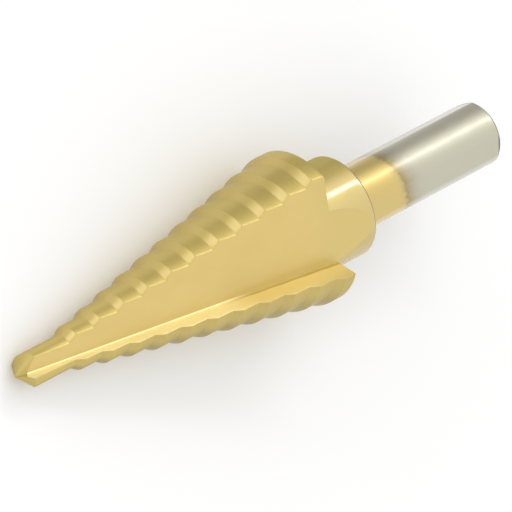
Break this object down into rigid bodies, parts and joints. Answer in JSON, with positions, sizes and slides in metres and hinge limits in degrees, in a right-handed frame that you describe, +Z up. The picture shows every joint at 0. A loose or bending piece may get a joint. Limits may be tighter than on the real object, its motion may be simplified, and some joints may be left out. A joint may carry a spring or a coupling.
{
  "type": "step drill",
  "caption": "Stepped cone drill lying on its side, with straight flutes, a relieved point, a collar and a shank with ground flats for a chuck.",
  "frame": {"origin": "middle of the bounding box on the surface that the drill rests on", "axes": "+X runs from the point towards the shank, level; +Z up; the drill's own axis rises 7.4 degrees towards the shank"},
  "size_m": [0.0858, 0.0222, 0.0177],
  "materials": {
    "coated_steel": "satin"
  },
  "bodies": {
    "root": {"step_drill": "coated_steel"}
  },
  "joints": []
}
